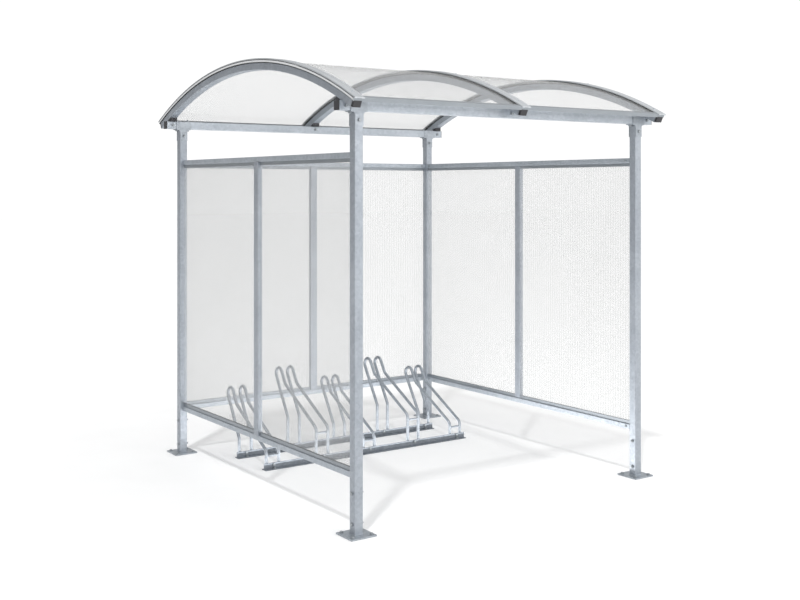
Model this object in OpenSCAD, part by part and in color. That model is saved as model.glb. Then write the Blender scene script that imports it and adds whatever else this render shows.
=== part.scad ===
// Bicycle shelter. Four posts of galvanised square tube stand on bolted feet and carry two beams,
// three arched ribs and a roof of twin-wall polycarbonate. Three sides are walled in framed
// polycarbonate, the front is open, and a ground rack holds five bicycles by the front wheel.
// Millimetres. The origin is on the ground in the middle of the plan, +X is to the right of someone
// who walks in at the front, +Y points to the rear wall and +Z is up.

/* [Overall] */
// Width over the outer faces of the posts
frame_w = 2064; // [1700:1:2700]
// Depth over the outer faces of the posts
frame_d = 2178; // [1800:1:2700]
// Height from the ground to the underside of the beams
clear_h = 2134; // [1750:1:2600]

/* [Posts and beams] */
// Side of the square tube of the posts and beams
tube_side = 50; // [40:1:60]
// Wall of the square tube
tube_wall = 2.5; // [2:0.5:4]
// How far the beams run on past the outer faces of the posts
beam_past = 90; // [75:5:150]
// Diameter of the frame bolts
bolt_d = 10; // [8:1:12]
// Clearance of a bolt in its hole, on the diameter
bolt_clear = 1; // [0.5:0.5:2]

/* [Feet] */
// Side of the square foot plate
foot_side = 150; // [130:5:220]
// Thickness of the foot plate
foot_t = 8; // [5:1:15]
// Distance between the anchor holes of a foot
foot_hole_pitch = 110; // [90:5:120]
// Diameter of the anchor holes
foot_hole_d = 14; // [10:1:18]
// Height of the stub tube that the post slides over
stub_h = 260; // [240:10:400]
// Wall of the stub tube
stub_wall = 3; // [2:0.5:5]
// Gap between the stub tube and the inside of the post, on each side
stub_clear = 0.5; // [0.2:0.1:1.5]
// Height of the lower bolt through the post above the foot plate
low_bolt_h = 50; // [40:1:90]
// Height of the upper bolt through the post above the foot plate
high_bolt_h = 205; // [150:1:230]

/* [Head brackets] */
// Thickness of the bracket plates in front of and behind the post
bracket_t = 4; // [3:0.5:8]
// Thickness of the saddle between post and beam
saddle_t = 5; // [3:0.5:10]
// How far each arm of the bracket runs past the side of the post
arm_l = 24; // [20:1:40]
// Height of the arms above the underside of the beam
arm_h = 50; // [36:1:50]
// Length of the stem below the underside of the beam
stem_l = 76; // [65:1:140]
// Leg of the chamfer between arm and stem
bracket_chamfer = 9; // [5:1:18]
// Height of the stem bolt below the underside of the beam
stem_bolt_drop = 45; // [35:1:55]
// Distance of the upright saddle bolts from the side of the post
saddle_bolt_out = 14; // [12:1:15]

/* [Roof] */
// Radius of the underside of the arched ribs
rib_r = 2640; // [2200:10:4000]
// Width of the rib tube
rib_w = 50; // [40:1:60]
// Height of the rib tube
rib_h = 40; // [30:1:60]
// Wall of the rib tube
rib_wall = 2; // [1.5:0.5:4]
// Distance of the outer ribs from the outer faces of the posts
rib_out = 50; // [35:1:60]
// How far the ribs overhang the beams in front and behind
eaves_out = 94; // [60:1:200]
// Thickness of the lugs under a rib, which stand in slots in the beams
lug_t = 6; // [4:1:10]
// Width of the lugs
lug_w = 40; // [25:1:44]
// How far a lug reaches down into the beam
lug_drop = 40; // [36:1:42]
// Gap between a lug and its slot in the beam, on each side
lug_clear = 1; // [0.5:0.5:2]
// Thickness of the twin-wall sheet, on roof and walls
sheet_t = 10; // [6:1:20]
// Thickness of the rubber seals under and over the roof sheet
seal_t = 4; // [3:0.5:8]
// Width of the cover strips
cover_w = 60; // [52:1:80]
// Height of the cover strips
cover_h = 8; // [6:1:14]
// Gap between the two roof sheets over the middle rib
sheet_gap = 10; // [4:1:20]
// How far the roof sheets run past the ends of the ribs
sheet_past = 14; // [6:1:20]
// How far the cover strips run past the ends of the roof sheets
cover_past = 10; // [6:1:20]

/* [Eaves profile] */
// Wall of the eaves profile
eaves_wall = 2; // [1:0.5:3]
// Length of the flanges of the eaves profile
eaves_flange = 20; // [12:1:30]
// Length of the drip edge under the lower flange
drip_l = 7; // [3:1:12]

/* [Walls] */
// Height of the underside of the bottom rails above the ground
wall_low = 279; // [150:1:400]
// Height of the open strip between the top rails and the beams
wall_gap = 205; // [120:5:300]
// Height of a wall rail
rail_h = 30; // [25:1:50]
// Depth of the rails and mullions across the wall
rail_d = 30; // [25:1:40]
// Width of the mullion in the middle of a wall
mullion_w = 50; // [30:1:60]
// Wall of the tubes of the wall frames
rail_wall = 2; // [1.5:0.5:3]
// Setback of the side wall frames from the outer faces of the posts
side_setback = 20; // [0:1:20]
// Setback of the side wall mullions from the outer faces of the posts
side_mullion_setback = 14; // [8:1:20]
// Setback of the rear wall frame from the outer faces of the posts
rear_setback = 0; // [0:1:20]
// Setback of the glazing channels from the outer faces of rails and mullions
channel_setback = 7.5; // [2:0.5:8]
// Height of the glazing channels under and over each wall panel
channel_w = 20; // [12:1:30]
// Wall of the glazing channels
channel_wall = 1.2; // [1:0.1:2]
// Gap between a wall panel and each side of its channel
glaze_clear = 0.3; // [0.1:0.1:1]
// Gap between a wall panel and the post, the mullion and the channel web beside and above it
glaze_edge = 3; // [1:1:8]

/* [End caps] */
// Thickness of the flange of the plastic end caps
cap_t = 3; // [2:0.5:6]
// Length of the plug of an end cap inside its tube
plug_l = 18; // [10:1:40]
// Gap between the plug and the tube, on each side
plug_clear = 0.3; // [0.1:0.1:1]

/* [Bicycle rack] */
// Number of places
places = 5; // [5:1:5]
// Distance between the middles of neighbouring places
place_pitch = 359; // [300:1:420]
// How far the ground rails run past the middle of the outer places
rack_rail_end = 68; // [60:1:150]
// Height of the T bar of the ground rails
rack_rail_h = 40; // [36:1:60]
// Width of the T bar of the ground rails
rack_rail_w = 50; // [48:1:70]
// Thickness of web and flange of the T bar
rack_rail_t = 5; // [4:0.5:8]
// Distance between the front legs and the rear legs
rack_depth = 370; // [320:5:450]
// Distance of the rear legs from the outer face of the rear posts
rack_back = 368; // [330:1:500]
// Diameter of the anchor holes through the flange of the ground rails
rack_hole_d = 11; // [8:1:11]
// Distance of the anchor holes from the middle of the web
rack_hole_out = 14; // [13:0.5:15]
// Thickness of the bolt plates of a place
place_plate_t = 5; // [4:0.5:8]
// Height of the lower edge of the bolt plates above the ground
place_plate_low = 8; // [7:1:12]
// Height of the bolts of the places above the ground
place_bolt_h = 28; // [25:1:29]
// Diameter of the bent hoop tube
hoop_d = 20; // [16:1:25]
// Distance between the middles of the two hoops of a place
hoop_gap = 87; // [70:1:100]
// Lean of the upper part of the hoops, from upright
hoop_lean = 32; // [20:1:40]
// Height of the kink in the rear leg of a low place
kink_low = 125; // [110:1:160]
// How much higher the high places stand
place_rise = 96; // [0:1:150]
// Height of the middle of the top bend above the kink in the rear leg
hoop_top = 269; // [230:1:330]
// Radius of the top bend
hoop_bend_r = 42; // [36:1:60]
// Straight between the two halves of the top bend
top_flat = 4; // [2:1:20]
// Radius of the other bends
bend_r = 38; // [30:1:50]
// How much fatter the tube is in its bends
bend_swell = 0.2; // [0.1:0.1:1]
// How much lower the kink in the front leg is than the one in the rear leg
front_kink_drop = 11; // [0:1:40]
// Slope of the straight between the front leg and the upper part
hoop_slope = 29; // [25:1:35]
// Diameter of the bar that ties the two hoops of a place
tie_d = 14; // [10:1:18]
// Distance of the tie bar below the kink in the front leg
tie_drop = 32; // [30:1:40]

/* [Hidden] */
$fn = 48;

GALVANISED = "#aeb6bf";
ALUMINIUM = "#c8ced4";
SHEET = "#e6e6e6";
RUBBER = "#4a4d50";
PLASTIC = "#3a3a3e";

// A cut runs on past the faces it goes through
past = 1;
hole_d = bolt_d + bolt_clear;
post_x = frame_w / 2 - tube_side / 2;
post_y = frame_d / 2 - tube_side / 2;
post_h = clear_h - saddle_t - foot_t;
tube_bore = tube_side - 2 * tube_wall;

beam_z = clear_h + tube_side / 2;
beam_top = clear_h + tube_side;
beam_l = frame_w + 2 * beam_past;

// The ribs touch the outer top edges of the beams, and the whole roof is concentric with them
arch_z = beam_top - sqrt(pow(rib_r, 2) - pow(frame_d / 2, 2));
rib_x = frame_w / 2 + rib_out;
rib_top_r = rib_r + rib_h;
sheet_r = rib_top_r + seal_t;
cover_r = sheet_r + sheet_t + seal_t;
rib_end = asin((frame_d / 2 + eaves_out) / rib_top_r);
sheet_end = rib_end + degrees_of(sheet_past, sheet_r);
cover_end = sheet_end + degrees_of(cover_past, cover_r);
seal_end = sheet_end - degrees_of(eaves_flange + past, sheet_r);
sheet_out = rib_x + cover_w / 2;
cover_chamfer = 2;
cover_groove_w = cover_w / 2;
cover_groove_h = cover_h / 3;
eaves_clear = 0.5;
eaves_h = sheet_t + 2 * eaves_clear + 2 * eaves_wall;

rail_top_z = clear_h - wall_gap;
bay_low = wall_low + rail_h;
bay_high = rail_top_z - rail_h;
side_span = frame_d - 2 * tube_side;
rear_span = frame_w - 2 * tube_side;
channel_t = sheet_t + 2 * glaze_clear + 2 * channel_wall;

rack_rear_y = frame_d / 2 - rack_back;
rack_front_y = rack_rear_y - rack_depth;
rack_rail_l = (places - 1) * place_pitch + 2 * rack_rail_end;
// The legs stand behind the web of their rail, with a bolt plate between
leg_bite = 1.5;
plate_past = 2;
plate_up = 1;
leg_behind = rack_rail_t / 2 + place_plate_t + hoop_d / 2 - leg_bite;

function place_x(number) = (number - (places + 1) / 2) * place_pitch;

// Angle at the axis of the arch that an arc of this length and radius takes
function degrees_of(arc, radius) = arc / radius * 180 / PI;

// Square or rectangular tube along X, centred on its axis
module tube_x(length, depth, height, wall) {
  difference() {
    cube([length, depth, height], center = true);
    cube([length + 2 * past, depth - 2 * wall, height - 2 * wall], center = true);
  }
}

// Square or rectangular tube upright on the plane below it
module tube_up(length, width, depth, wall) {
  translate([0, 0, length / 2])
    rotate([0, 90, 0])
      tube_x(length, depth, width, wall);
}

module bore_x(length, diameter) {
  rotate([0, 90, 0])
    cylinder(h = length, d = diameter, center = true);
}

module bore_y(length, diameter) {
  rotate([90, 0, 0])
    cylinder(h = length, d = diameter, center = true);
}

// Sweeps a section, drawn as [radius, x], round the axis of the arch between two angles from the top
module arch(from, to) {
  translate([0, 0, arch_z])
    rotate([90, 0, 90])
      rotate([0, 0, 90 - to])
        rotate_extrude(angle = to - from, $fn = 180)
          children();
}

// Places a piece at an angle round the arch, with its own Z pointing away from the axis
module on_arch(angle, radius) {
  translate([0, 0, arch_z])
    rotate([-angle, 0, 0])
      translate([0, 0, radius])
        children();
}

module post(side, row) {
  color(GALVANISED)
    translate([side * post_x, row * post_y, foot_t])
      difference() {
        tube_up(post_h, tube_side, tube_side, tube_wall);
        for (height = [low_bolt_h, high_bolt_h])
          translate([0, 0, height])
            bore_x(tube_side + 2 * past, hole_d);
        translate([0, 0, clear_h - stem_bolt_drop - foot_t])
          bore_y(tube_side + 2 * past, hole_d);
      }
}

module foot(side, row) {
  stub_side = tube_bore - 2 * stub_clear;
  color(GALVANISED)
    translate([side * post_x, row * post_y, 0])
      difference() {
        union() {
          translate([-foot_side / 2, -foot_side / 2, 0])
            cube([foot_side, foot_side, foot_t]);
          translate([0, 0, foot_t])
            tube_up(stub_h, stub_side, stub_side, stub_wall);
        }
        for (x = [-1, 1], y = [-1, 1])
          translate([x * foot_hole_pitch / 2, y * foot_hole_pitch / 2, -past])
            cylinder(h = foot_t + 2 * past, d = foot_hole_d);
        for (height = [low_bolt_h, high_bolt_h])
          translate([0, 0, foot_t + height])
            bore_x(tube_side, hole_d);
      }
}

// Outline of a bracket plate: two arms along the beam and a stem down the post, with chamfers
module bracket_outline() {
  arm_x = tube_side / 2 + arm_l;
  stem_x = tube_side / 2;
  polygon([
    [-arm_x, arm_h], [-arm_x, -saddle_t],
    [-stem_x - bracket_chamfer, -saddle_t], [-stem_x, -saddle_t - bracket_chamfer],
    [-stem_x, -stem_l], [stem_x, -stem_l],
    [stem_x, -saddle_t - bracket_chamfer], [stem_x + bracket_chamfer, -saddle_t],
    [arm_x, -saddle_t], [arm_x, arm_h]
  ]);
}

module head_bracket(side, row) {
  plate_y = tube_side / 2;
  color(GALVANISED)
    translate([side * post_x, row * post_y, clear_h])
      difference() {
        union() {
          for (face = [-1, 1])
            translate([0, face * (plate_y + bracket_t / 2) + bracket_t / 2, 0])
              rotate([90, 0, 0])
                linear_extrude(bracket_t)
                  bracket_outline();
          translate([-tube_side / 2 - arm_l, -plate_y - bracket_t / 2, -saddle_t])
            cube([tube_side + 2 * arm_l, tube_side + bracket_t, saddle_t]);
        }
        translate([0, 0, -stem_bolt_drop])
          bore_y(tube_side + 2 * bracket_t + 2 * past, hole_d);
        for (x = [-1, 1])
          translate([x * (tube_side / 2 + saddle_bolt_out), 0, -saddle_t - past])
            cylinder(h = saddle_t + 2 * past, d = hole_d);
      }
}

module beam(row) {
  color(GALVANISED)
    translate([0, row * post_y, beam_z])
      difference() {
        tube_x(beam_l, tube_side, tube_side, tube_wall);
        for (x = [-rib_x, 0, rib_x])
          translate([x, 0, 0])
            bore_y(tube_side + 2 * past, hole_d);
        for (side = [-1, 1], x = [-1, 1])
          translate([side * post_x + x * (tube_side / 2 + saddle_bolt_out), 0, 0])
            cylinder(h = tube_side + 2 * past, d = hole_d, center = true);
        for (x = [-rib_x, 0, rib_x])
          translate([x, 0, tube_side / 2])
            cube([lug_w + 2 * lug_clear, lug_t + 2 * lug_clear, 2 * (tube_wall + past)], center = true);
      }
}

// Plastic cap with its flange on the plane below it and its plug pointing down into the tube
module end_cap(width, depth, wall) {
  plug_w = width - 2 * wall - 2 * plug_clear;
  plug_d = depth - 2 * wall - 2 * plug_clear;
  translate([-width / 2, -depth / 2, 0])
    cube([width, depth, cap_t]);
  translate([-plug_w / 2, -plug_d / 2, -plug_l])
    cube([plug_w, plug_d, plug_l + cap_t / 2]);
}

module tube_end_caps() {
  color(PLASTIC) {
    for (side = [-1, 1], row = [-1, 1])
      translate([side * beam_l / 2, row * post_y, beam_z])
        rotate([0, side * 90, 0])
          end_cap(tube_side, tube_side, tube_wall);
    for (x = [-rib_x, 0, rib_x], row = [-1, 1])
      translate([x, 0, 0])
        on_arch(-row * rib_end, rib_r + rib_h / 2)
          rotate([-row * 90, 0, 0])
            end_cap(rib_w, rib_h, rib_wall);
  }
}

// Lug welded under a rib, which stands in a slot in the top of a beam and is bolted through it
module rib_lug(row) {
  lug_low = beam_top - lug_drop;
  difference() {
    intersection() {
      translate([-lug_w / 2, row * post_y - lug_t / 2, lug_low])
        cube([lug_w, lug_t, rib_h + tube_side + lug_drop]);
      translate([0, 0, arch_z])
        rotate([0, 90, 0])
          cylinder(h = rib_w, r = rib_r + rib_wall / 2, center = true, $fn = 180);
    }
    translate([0, row * post_y, beam_z])
      bore_y(lug_t + 2 * past, hole_d);
  }
}

module rib(x) {
  color(GALVANISED)
    translate([x, 0, 0]) {
      arch(-rib_end, rib_end)
        difference() {
          translate([rib_r, -rib_w / 2])
            square([rib_h, rib_w]);
          translate([rib_r + rib_wall, -rib_w / 2 + rib_wall])
            square([rib_h - 2 * rib_wall, rib_w - 2 * rib_wall]);
        }
      for (row = [-1, 1])
        rib_lug(row);
    }
}

module rib_seals() {
  color(RUBBER)
    for (x = [-rib_x, 0, rib_x], radius = [rib_top_r, sheet_r + sheet_t])
      translate([x, 0, 0])
        arch(-seal_end, seal_end)
          translate([radius, -rib_w / 2])
            square([seal_t, rib_w]);
}

module roof_sheet(side) {
  width = sheet_out - sheet_gap / 2;
  color(SHEET)
    translate([side * (sheet_gap / 2 + width / 2), 0, 0])
      arch(-sheet_end, sheet_end)
        translate([sheet_r, -width / 2])
          square([sheet_t, width]);
}

// Clamping profile with chamfered top edges and a shallow groove underneath
module cover_strip(x) {
  half_w = cover_w / 2;
  color(ALUMINIUM)
    translate([x, 0, 0])
      arch(-cover_end, cover_end)
        translate([cover_r, 0])
          polygon([
            [0, -half_w], [cover_h - cover_chamfer, -half_w], [cover_h, -half_w + cover_chamfer],
            [cover_h, half_w - cover_chamfer], [cover_h - cover_chamfer, half_w], [0, half_w],
            [0, cover_groove_w / 2], [cover_groove_h, cover_groove_w / 2],
            [cover_groove_h, -cover_groove_w / 2], [0, -cover_groove_w / 2]
          ]);
}

// U profile over the end of the roof sheets, drawn as [outwards along the sheet, up from its middle]
module eaves_outline() {
  half_h = eaves_h / 2;
  slot = half_h - eaves_wall;
  web = eaves_clear + eaves_wall;
  polygon([
    [-eaves_flange, half_h], [-eaves_flange, slot], [eaves_clear, slot],
    [eaves_clear, -slot], [-eaves_flange, -slot], [-eaves_flange, -half_h],
    [eaves_clear, -half_h], [eaves_clear, -half_h - drip_l], [web, -half_h - drip_l], [web, half_h]
  ]);
}

module eaves_profiles() {
  color(ALUMINIUM)
    for (row = [0, 1])
      rotate([0, 0, row * 180])
        on_arch(-sheet_end, sheet_r + sheet_t / 2)
          rotate([90, 0, -90])
            translate([0, 0, -sheet_out])
              linear_extrude(2 * sheet_out)
                eaves_outline();
}

// The walls are drawn with X along the wall, Y inwards from the outer faces of the posts
module on_wall(wall) {
  if (wall == "left")
    translate([-frame_w / 2, 0, 0]) rotate([0, 0, -90]) children();
  if (wall == "right")
    translate([frame_w / 2, 0, 0]) rotate([0, 0, 90]) children();
  if (wall == "rear")
    translate([0, frame_d / 2, 0]) rotate([0, 0, 180]) children();
}

function wall_span(wall) = wall == "rear" ? rear_span : side_span;
function wall_setback(wall) = wall == "rear" ? rear_setback : side_setback;
function bay_w(wall) = (wall_span(wall) - mullion_w) / 2;
function mullion_setback(wall) = wall == "rear" ? rear_setback : side_mullion_setback;
function channel_y(wall) = wall_setback(wall) + channel_setback + channel_t / 2;

module wall_rails(wall) {
  color(GALVANISED)
    on_wall(wall)
      for (height = [wall_low + rail_h / 2, rail_top_z - rail_h / 2])
        translate([0, wall_setback(wall) + rail_d / 2, height])
          tube_x(wall_span(wall), rail_d, rail_h, rail_wall);
}

module mullion(wall) {
  color(GALVANISED)
    on_wall(wall)
      translate([0, mullion_setback(wall) + rail_d / 2, bay_low])
        tube_up(bay_high - bay_low, mullion_w, rail_d, rail_wall);
}

// U channel along X, centred, with its web on the plane below it
module u_channel(length) {
  slot_t = channel_t - 2 * channel_wall;
  difference() {
    translate([-length / 2, -channel_t / 2, 0])
      cube([length, channel_t, channel_w]);
    translate([-length / 2 - past, -slot_t / 2, channel_wall])
      cube([length + 2 * past, slot_t, channel_w]);
  }
}

module glazing_channels() {
  color(ALUMINIUM)
    for (wall = ["left", "right", "rear"], bay = [-1, 1])
      on_wall(wall)
        translate([bay * (mullion_w + bay_w(wall)) / 2, channel_y(wall), 0]) {
          translate([0, 0, bay_low])
            u_channel(bay_w(wall));
          translate([0, 0, bay_high])
            rotate([180, 0, 0])
              u_channel(bay_w(wall));
        }
}

// A panel stands on the web of its bottom channel, with room to grow at its sides and top
module panel(wall, bay) {
  panel_w = bay_w(wall) - 2 * glaze_edge;
  panel_h = bay_high - bay_low - 2 * channel_wall - glaze_edge;
  color(SHEET)
    on_wall(wall)
      translate([bay * (mullion_w + bay_w(wall)) / 2 - panel_w / 2,
                 channel_y(wall) - sheet_t / 2, bay_low + channel_wall])
        cube([panel_w, sheet_t, panel_h]);
}

// T bar upside down on the ground, with its web in front of the legs that stand at this depth
module rack_ground_rail(leg_y) {
  color(GALVANISED)
    translate([0, leg_y - leg_behind, 0])
      difference() {
        translate([-rack_rail_l / 2, 0, 0])
          rotate([90, 0, 90])
            linear_extrude(rack_rail_l)
              t_outline();
        for (number = [1, places])
          translate([place_x(number), -rack_hole_out, -past])
            cylinder(h = rack_rail_t + 2 * past, d = rack_hole_d);
        for (number = [1:places])
          translate([place_x(number), 0, place_bolt_h])
            bore_y(rack_rail_t + 2 * past, hole_d);
      }
}

module t_outline() {
  half_w = rack_rail_w / 2;
  half_t = rack_rail_t / 2;
  polygon([
    [-half_w, 0], [half_w, 0], [half_w, rack_rail_t], [half_t, rack_rail_t],
    [half_t, rack_rail_h], [-half_t, rack_rail_h], [-half_t, rack_rail_t], [-half_w, rack_rail_t]
  ]);
}

// Corners of a hoop's centre line from the rear rail to the front rail, as [y, z], with the kink of
// the rear leg at this height. The two corners of the top bend lie where its tangents cross.
function hoop_points(kink) =
  let (
    up = [sin(hoop_lean), cos(hoop_lean)],
    across = [-cos(hoop_lean), sin(hoop_lean)],
    rear_kink = [rack_rear_y, kink],
    rear_run = (hoop_top - hoop_bend_r * sin(hoop_lean)) / cos(hoop_lean),
    top_rear = rear_kink + (rear_run + hoop_bend_r) * up,
    top_front = top_rear + 2 * hoop_bend_r * across,
    front_kink_z = kink - front_kink_drop,
    slope = tan(hoop_slope),
    lean = cos(hoop_lean) / sin(hoop_lean),
    knee_y = (front_kink_z - slope * rack_front_y - top_front[1] + lean * top_front[0])
             / (lean - slope),
    knee = [knee_y, front_kink_z + slope * (knee_y - rack_front_y)]
  )
  [[rack_rear_y, place_plate_low], rear_kink, top_rear, top_front, knee,
   [rack_front_y, front_kink_z], [rack_front_y, place_plate_low]];

function turn_at(a, b, c) =
  let (u = (b - a) / norm(b - a), v = (c - b) / norm(c - b))
  atan2(u[0] * v[1] - u[1] * v[0], u * v);

// Round tube along a path of [y, z] corners, with a bend of the given radius at each inner corner.
// The bends are a little fatter than the straights, which run a short way into them.
module bent_tube(points, radii, diameter) {
  last = len(points) - 1;
  bite = 1;
  turns = [for (i = [0:last]) i == 0 || i == last ? 0 : turn_at(points[i - 1], points[i], points[i + 1])];
  cuts = [for (i = [0:last]) i == 0 || i == last ? 0 : radii[i] * tan(abs(turns[i]) / 2)];
  for (i = [0:last - 1]) {
    way = (points[i + 1] - points[i]) / norm(points[i + 1] - points[i]);
    bite_in = i == 0 ? 0 : bite;
    bite_out = i == last - 1 ? 0 : bite;
    start = points[i] + (cuts[i] - bite_in) * way;
    run = norm(points[i + 1] - points[i]) - cuts[i] - cuts[i + 1] + bite_in + bite_out;
    heading = atan2(way[1], way[0]);
    translate([0, start[0], start[1]])
      rotate([heading - 90, 0, 0])
        cylinder(h = run, d = diameter);
    if (i > 0) {
      back = (points[i] - points[i - 1]) / norm(points[i] - points[i - 1]);
      bend_start = points[i] - cuts[i] * back;
      inward = turns[i] > 0 ? [-back[1], back[0]] : [back[1], -back[0]];
      middle = bend_start + radii[i] * inward;
      first = atan2(-inward[1], -inward[0]);
      translate([0, middle[0], middle[1]])
        rotate([90, 0, 90])
          rotate([0, 0, turns[i] > 0 ? first : first + turns[i]])
            rotate_extrude(angle = abs(turns[i]))
              translate([radii[i], 0])
                circle(d = diameter + bend_swell);
    }
  }
}

// Plate across the two legs that stand at this depth, which is bolted to the web of the rail
module bolt_plate(leg_y) {
  plate_w = hoop_gap + hoop_d + 2 * plate_past;
  difference() {
    translate([-plate_w / 2, leg_y - leg_behind + rack_rail_t / 2, place_plate_low + plate_up])
      cube([plate_w, place_plate_t, rack_rail_h - place_plate_low - 2 * plate_up]);
    translate([0, leg_y - leg_behind, place_bolt_h])
      bore_y(2 * place_plate_t + rack_rail_t + 2 * past, hole_d);
  }
}

module rack_place(number) {
  kink = number % 2 == 1 ? kink_low : kink_low + place_rise;
  points = hoop_points(kink);
  top_r = hoop_bend_r - top_flat / 2;
  radii = [0, bend_r, top_r, top_r, bend_r, bend_r, 0];
  front_kink = points[5];
  color(GALVANISED)
    translate([place_x(number), 0, 0]) {
      for (side = [-1, 1])
        translate([side * hoop_gap / 2, 0, 0])
          bent_tube(points, radii, hoop_d);
      translate([0, front_kink[0], front_kink[1] - tie_drop])
        bore_x(hoop_gap, tie_d);
      bolt_plate(rack_front_y);
      bolt_plate(rack_rear_y);
    }
}

post(-1, -1);  // post_front_left
post(1, -1);  // post_front_right
post(-1, 1);  // post_rear_left
post(1, 1);  // post_rear_right
foot(-1, -1);  // foot_front_left
foot(1, -1);  // foot_front_right
foot(-1, 1);  // foot_rear_left
foot(1, 1);  // foot_rear_right
head_bracket(-1, -1);  // head_bracket_front_left
head_bracket(1, -1);  // head_bracket_front_right
head_bracket(-1, 1);  // head_bracket_rear_left
head_bracket(1, 1);  // head_bracket_rear_right
beam(-1);  // beam_front
beam(1);  // beam_rear
tube_end_caps();
rib(-rib_x);  // rib_left
rib(0);  // rib_middle
rib(rib_x);  // rib_right
rib_seals();
roof_sheet(-1);  // roof_sheet_left
roof_sheet(1);  // roof_sheet_right
cover_strip(-rib_x);  // cover_strip_left
cover_strip(0);  // cover_strip_middle
cover_strip(rib_x);  // cover_strip_right
eaves_profiles();
wall_rails("left");  // wall_rails_left
wall_rails("right");  // wall_rails_right
wall_rails("rear");  // wall_rails_rear
mullion("left");  // mullion_left
mullion("right");  // mullion_right
mullion("rear");  // mullion_rear
glazing_channels();
panel("left", 1);  // panel_left_front
panel("left", -1);  // panel_left_rear
panel("right", -1);  // panel_right_front
panel("right", 1);  // panel_right_rear
panel("rear", 1);  // panel_rear_left
panel("rear", -1);  // panel_rear_right
rack_ground_rail(rack_front_y);  // rack_rail_front
rack_ground_rail(rack_rear_y);  // rack_rail_rear
rack_place(1);  // rack_place_1
rack_place(2);  // rack_place_2
rack_place(3);  // rack_place_3
rack_place(4);  // rack_place_4
rack_place(5);  // rack_place_5
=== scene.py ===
import math

import bmesh
import bpy
from mathutils import Matrix, Vector


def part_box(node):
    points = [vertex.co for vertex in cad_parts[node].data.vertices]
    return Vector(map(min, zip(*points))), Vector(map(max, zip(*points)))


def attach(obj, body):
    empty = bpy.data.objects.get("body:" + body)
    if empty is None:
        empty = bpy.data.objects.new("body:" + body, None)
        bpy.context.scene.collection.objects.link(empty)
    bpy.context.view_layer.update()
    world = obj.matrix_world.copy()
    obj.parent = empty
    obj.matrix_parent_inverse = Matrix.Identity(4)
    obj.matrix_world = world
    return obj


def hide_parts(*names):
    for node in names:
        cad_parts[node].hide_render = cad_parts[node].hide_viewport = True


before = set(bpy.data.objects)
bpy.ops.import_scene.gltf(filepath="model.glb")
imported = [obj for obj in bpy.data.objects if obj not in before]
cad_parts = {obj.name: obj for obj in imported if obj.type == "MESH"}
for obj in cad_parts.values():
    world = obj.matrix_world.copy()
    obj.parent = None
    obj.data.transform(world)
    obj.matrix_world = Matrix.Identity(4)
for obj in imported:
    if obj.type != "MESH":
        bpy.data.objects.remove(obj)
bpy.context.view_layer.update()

MM = 0.001
X, Y, Z = range(3)
GALVANISED_SLOT = "galvanised_steel"
ALUMINIUM_SLOT = "aluminium_profile"
SHEET_SLOT = "twin_wall_sheet"
PLASTIC_SLOT = "plastic_cap"


# ---- Posts ----------------------------------------------------------------------------------
# Four lengths of cold-formed square steel tube, 50 mm over the faces, with the rounded corners
# that the rolls leave. They are cut, drilled and then dipped whole in molten zinc.

def linear(hex_code):
    """Linear colour, with alpha 1, of an sRGB hex value."""
    channels = [int(hex_code[i:i + 2], 16) / 255 for i in (1, 3, 5)]
    return [c / 12.92 if c <= 0.04045 else ((c + 0.055) / 1.055) ** 2.4 for c in channels] + [1]


def add(tree, kind, inputs=None, **settings):
    """Adds one node to a tree: its settings, then its inputs as values or links."""
    node = tree.nodes.new(kind)
    for key, value in settings.items():
        setattr(node, key, value)
    for key, value in (inputs or {}).items():
        if isinstance(value, bpy.types.NodeSocket):
            tree.links.new(value, node.inputs[key])
        else:
            node.inputs[key].default_value = value
    return node


def new_material(name):
    """Empty procedural material, with its tree, its shader and its object coordinates."""
    material = bpy.data.materials.new(name)
    material.use_nodes = True
    tree = material.node_tree
    place = add(tree, "ShaderNodeTexCoord").outputs["Object"]
    return material, tree, tree.nodes["Principled BSDF"], place


def hot_dip_galvanised_steel(name, dull="#A0A6AE", bright="#B1B7BE", rough=0.46):
    """Zinc that has set in flat crystals: a cool grey, patchy sheen with soft blotches."""
    crystal_size, blotch_size, peel_size = 14 * MM, 160 * MM, 2.5 * MM
    material, tree, shader, place = new_material(name)
    shader.inputs["Metallic"].default_value = 0.8
    crystals = add(tree, "ShaderNodeTexVoronoi", {"Vector": place, "Scale": 1 / crystal_size})
    shade = add(tree, "ShaderNodeSeparateColor", {"Color": crystals.outputs["Color"]})
    blotches = add(tree, "ShaderNodeTexNoise",
                   {"Vector": place, "Scale": 1 / blotch_size, "Detail": 4, "Roughness": 0.6})
    patch = add(tree, "ShaderNodeMath", {0: shade.outputs["Red"], 1: 0.35}, operation="MULTIPLY")
    amount = add(tree, "ShaderNodeMath", {0: blotches.outputs["Fac"], 1: patch.outputs[0]},
                 operation="ADD")
    spread = add(tree, "ShaderNodeMapRange",
                 {"Value": amount.outputs[0], "From Min": 0.4, "From Max": 0.95})
    mottle(tree, shader, spread.outputs[0], dull, bright)
    vary_roughness(tree, shader, shade.outputs["Green"], rough - 0.07, rough + 0.09)
    peel = add(tree, "ShaderNodeTexNoise", {"Vector": place, "Scale": 1 / peel_size})
    bump = add(tree, "ShaderNodeBump", {"Height": peel.outputs["Fac"], "Strength": 0.06,
                                        "Distance": 0.2 * MM})
    tree.links.new(bump.outputs[0], shader.inputs["Normal"])
    return material


def mottle(tree, shader, amount, first, second):
    """Mixes two hex colours by an amount into the shader's base colour."""
    tone = add(tree, "ShaderNodeMixRGB", {"Fac": amount, "Color1": linear(first),
                                          "Color2": linear(second)})
    tree.links.new(tone.outputs[0], shader.inputs["Base Color"])


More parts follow.
